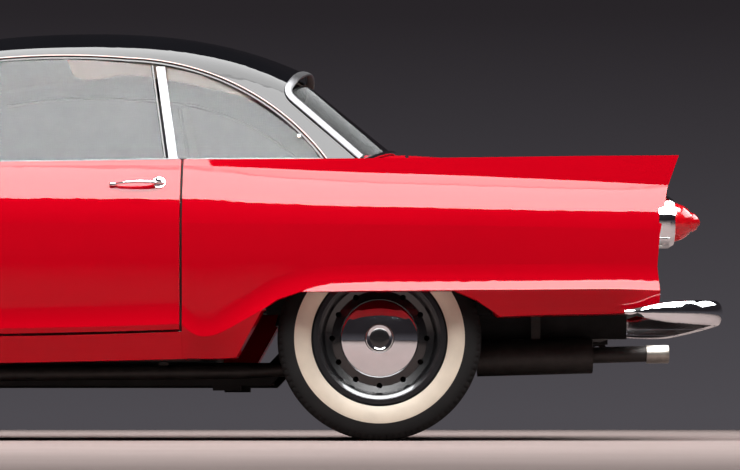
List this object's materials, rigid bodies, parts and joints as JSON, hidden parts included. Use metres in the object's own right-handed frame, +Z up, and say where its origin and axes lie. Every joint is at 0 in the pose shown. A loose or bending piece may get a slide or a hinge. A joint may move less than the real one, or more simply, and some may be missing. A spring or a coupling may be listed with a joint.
{
  "type": "two-door coupe car",
  "caption": "Two-door coupe of the 1950s with tail fins, wrap-round glass, steered front wheels and opening doors, bonnet and boot.",
  "frame": {"origin": "on the ground under the middle of the bumper-to-bumper box", "axes": "+X to the nose, +Y to the car's left, +Z up"},
  "size_m": [4.1702, 1.6804, 1.3538],
  "materials": {
    "paint_red": "gloss",
    "paint_black": "gloss",
    "underbody": "satin",
    "chrome": "polished",
    "glass": "clear",
    "lens_red": "gloss",
    "lamp_glass": "clear",
    "tyre": "matt with a cream side band",
    "wheel_black": "gloss",
    "steel": "satin",
    "cast": "matt",
    "seat": "satin",
    "trim": "gloss"
  },
  "bodies": {
    "body": {"chassis_frame": "underbody", "inner_body": "underbody", "cowl": "paint_red", "inner_wings": "underbody", "front_wings": "paint_red", "rear_quarters": "paint_red", "sills": "paint_red", "nose_panel": "paint_red", "tail_panel": "paint_red", "rear_deck": "paint_red", "roof": "paint_black", "windscreen": "glass", "rear_window": "glass", "quarter_windows": "glass", "b_strips": "chrome", "grille": "chrome", "headlamps": "lamp_glass", "tail_lamps": "lens_red", "lamp_rims": "chrome", "front_bumper": "chrome", "rear_bumper": "chrome", "front_seats": "seat", "rear_seat": "seat", "dashboard": "paint_red", "steering_column": "trim", "engine": "cast", "exhaust": "steel", "fuel_tank": "underbody", "front_suspension": "underbody", "rear_axle": "underbody"},
    "door_left": {"door_left": "paint_red", "door_glass_left": "glass"},
    "door_right": {"door_right": "paint_red", "door_glass_right": "glass"},
    "bonnet": {"bonnet": "paint_red"},
    "boot_lid": {"boot_lid": "paint_red"},
    "knuckle_left": {"knuckle_left": "steel"},
    "knuckle_right": {"knuckle_right": "steel"},
    "steering_wheel": {"steering_wheel": "trim"},
    "wheel_front_left": {"wheel_front_left": "wheel_black", "tyre_front_left": "tyre"},
    "wheel_front_right": {"wheel_front_right": "wheel_black", "tyre_front_right": "tyre"},
    "wheel_rear_left": {"wheel_rear_left": "wheel_black", "tyre_rear_left": "tyre"},
    "wheel_rear_right": {"wheel_rear_right": "wheel_black", "tyre_rear_right": "tyre"}
  },
  "joints": [
    {"name": "door_left_swing", "type": "hinge", "parent": "body", "child": "door_left", "pos_m": [0.606, 0.814, 0.63], "axis": [0, 0, -1], "range_deg": [0, 56]},
    {"name": "door_right_swing", "type": "hinge", "parent": "body", "child": "door_right", "pos_m": [0.606, -0.814, 0.63], "axis": [0, 0, 1], "range_deg": [0, 56]},
    {"name": "bonnet_lift", "type": "hinge", "parent": "body", "child": "bonnet", "pos_m": [0.964, 0, 0.864], "axis": [0, -1, 0], "range_deg": [0, 50]},
    {"name": "boot_lift", "type": "hinge", "parent": "body", "child": "boot_lid", "pos_m": [-1.215, 0, 0.909], "axis": [0, 1, 0], "range_deg": [0, 60]},
    {"name": "steering_turn", "type": "hinge", "parent": "body", "child": "steering_wheel", "pos_m": [0.3, 0.34, 0.79], "axis": [-0.866, 0, 0.5], "range_deg": [-480, 480]},
    {"name": "steer_left", "type": "hinge", "parent": "body", "child": "knuckle_left", "pos_m": [1.355, 0.6, 0.32], "axis": [0, 0, 1], "range_deg": [-35, 35]},
    {"name": "steer_right", "type": "hinge", "parent": "body", "child": "knuckle_right", "pos_m": [1.355, -0.6, 0.32], "axis": [0, 0, 1], "range_deg": [-35, 35]},
    {"name": "spin_front_left", "type": "hinge", "parent": "knuckle_left", "child": "wheel_front_left", "pos_m": [1.355, 0.645, 0.32], "axis": [0, 1, 0], "continuous": true},
    {"name": "spin_front_right", "type": "hinge", "parent": "knuckle_right", "child": "wheel_front_right", "pos_m": [1.355, -0.645, 0.32], "axis": [0, 1, 0], "continuous": true},
    {"name": "spin_rear_left", "type": "hinge", "parent": "body", "child": "wheel_rear_left", "pos_m": [-0.995, 0.675, 0.32], "axis": [0, 1, 0], "continuous": true},
    {"name": "spin_rear_right", "type": "hinge", "parent": "body", "child": "wheel_rear_right", "pos_m": [-0.995, -0.675, 0.32], "axis": [0, 1, 0], "continuous": true}
  ],
  "couplings": [
    {"joint": "steer_left", "follows": "steering_turn", "ratio": 0.0714},
    {"joint": "steer_right", "follows": "steering_turn", "ratio": 0.0714}
  ]
}
